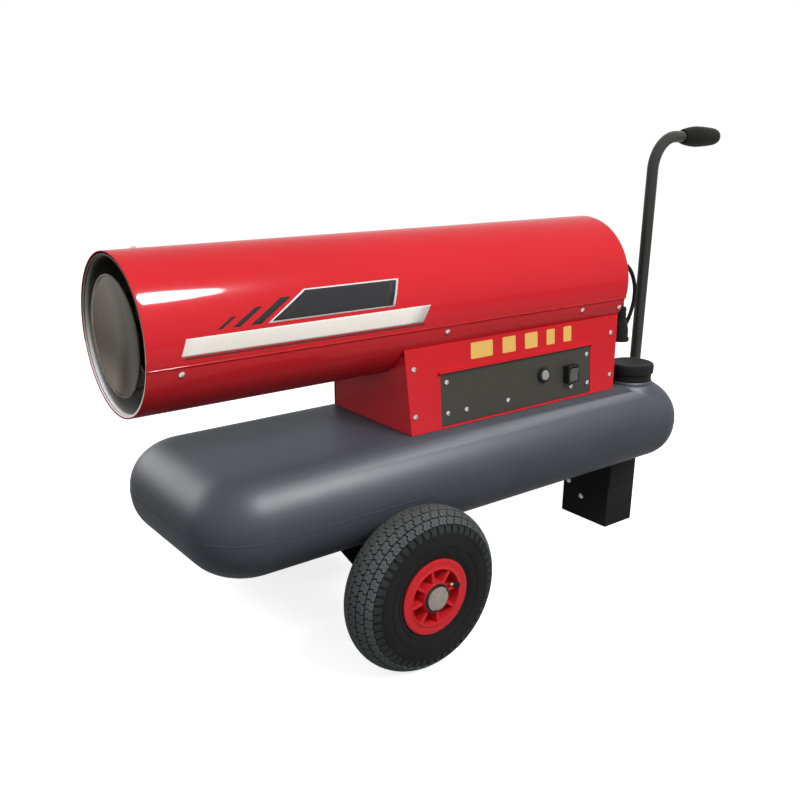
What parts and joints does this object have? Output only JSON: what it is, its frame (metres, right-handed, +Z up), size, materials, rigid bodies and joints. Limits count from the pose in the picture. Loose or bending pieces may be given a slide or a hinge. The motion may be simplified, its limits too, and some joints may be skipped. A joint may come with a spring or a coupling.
{
  "type": "oil-fired space heater",
  "caption": "Direct oil-fired hot-air heater: red sheet tube with flame disc and fan on a control box, over a moulded fuel tank with wheels, foot and tall bent pull handle",
  "frame": {"origin": "centre of the bounding box in plan, on the floor", "axes": "+X from the hot-air outlet to the grip, +Z up, the control panel faces -Y"},
  "size_m": [1.294, 0.5482, 0.786],
  "materials": {
    "red_paint": "glossy red powder coat",
    "stainless": "bare heat-proof sheet",
    "nozzle_brass": "turned",
    "porcelain": "glazed rods",
    "motor_grey": "satin",
    "black_steel": "satin black",
    "pole_paint": "graphite",
    "cast_alloy": "as cast",
    "copper": "copper pipe",
    "fan_alloy": "pressed",
    "control_grey": "matt olive grey",
    "black_plastic": "fine grain",
    "clear_cap": "clear",
    "controller_blue": "moulded",
    "transformer_black": "potted",
    "filter_bowl": "clear bowl",
    "tank_plastic": "satin moulding",
    "seal_rubber": "flat",
    "rim_red": "moulded",
    "tyre_rubber": "block tread",
    "valve_rubber": "moulded",
    "zinc_steel": "zinc plated",
    "grip_rubber": "satin",
    "cord_rubber": "smooth"
  },
  "bodies": {
    "heater": {"jacket_upper": "red_paint", "jacket_lower": "red_paint", "box_front_wall": "red_paint", "box_rear_wall": "red_paint", "side_panel_left": "red_paint", "side_panel_right": "red_paint", "outlet_liner": "stainless", "combustion_chamber": "stainless", "chamber_struts": "stainless", "chamber_support": "stainless", "flame_disc": "stainless", "flame_disc_straps": "stainless", "burner_head": "stainless", "nozzle_spider": "stainless", "hubcap_left": "stainless", "hubcap_right": "stainless", "nozzle_holder": "nozzle_brass", "ignition_electrodes": "porcelain", "fan_motor": "motor_grey", "motor_bracket": "black_steel", "inlet_guard": "black_steel", "cord_hook": "black_steel", "axle_bracket_left": "black_steel", "axle_bracket_right": "black_steel", "axle_tube": "black_steel", "foot_bracket": "black_steel", "handle_socket": "black_steel", "handle_clamp": "black_steel", "handle_pole": "pole_paint", "fuel_pump": "cast_alloy", "nozzle_pipe": "copper", "suction_pipe": "copper", "control_plate": "control_grey", "switch_housing": "black_plastic", "reset_bezel": "black_plastic", "strain_relief": "black_plastic", "burner_controller": "controller_blue", "ignition_transformer": "transformer_black", "fuel_filter": "filter_bowl", "fuel_tank": "tank_plastic", "filler_neck": "tank_plastic", "axle": "zinc_steel", "foot_bolt_upper": "zinc_steel", "foot_bolt_lower": "zinc_steel", "handle_grip": "grip_rubber", "mains_cord": "cord_rubber", "mains_plug": "cord_rubber"},
    "wheel_left": {"tyre_left": "tyre_rubber", "rim_left": "rim_red", "valve_left": "valve_rubber"},
    "wheel_right": {"tyre_right": "tyre_rubber", "rim_right": "rim_red", "valve_right": "valve_rubber"},
    "fan_rotor": {"fan": "fan_alloy", "motor_shaft": "stainless"},
    "rocker": {"switch_rocker": "black_plastic"},
    "reset": {"reset_button": "clear_cap"},
    "seal": {"cap_seal": "seal_rubber"},
    "cap": {"filler_cap": "black_plastic"}
  },
  "joints": [
    {"name": "wheel_left_spin", "type": "hinge", "parent": "heater", "child": "wheel_left", "pos_m": [-0.3, -0.226, 0.13], "axis": [0, 1, 0], "continuous": true},
    {"name": "wheel_right_spin", "type": "hinge", "parent": "heater", "child": "wheel_right", "pos_m": [-0.3, 0.226, 0.13], "axis": [0, 1, 0], "continuous": true},
    {"name": "fan_spin", "type": "hinge", "parent": "heater", "child": "fan_rotor", "pos_m": [0.179, 0, 0.514], "axis": [1, 0, 0], "continuous": true},
    {"name": "switch_rock", "type": "hinge", "parent": "heater", "child": "rocker", "pos_m": [0.1295, -0.11466, 0.36844], "axis": [1, 0, 0], "range_deg": [-14, 0]},
    {"name": "reset_press", "type": "slide", "parent": "heater", "child": "reset", "axis": [0, 0.9965, -0.0839], "range_m": [0, 0.0025], "stiffness_N_per_m": 300},
    {"name": "cap_lift", "type": "slide", "parent": "heater", "child": "seal", "axis": [0, 0, 1], "range_m": [0, 0.03]},
    {"name": "cap_turn", "type": "hinge", "parent": "seal", "child": "cap", "pos_m": [0.316, -0.095, 0.35], "axis": [0, 0, 1], "continuous": true}
  ]
}
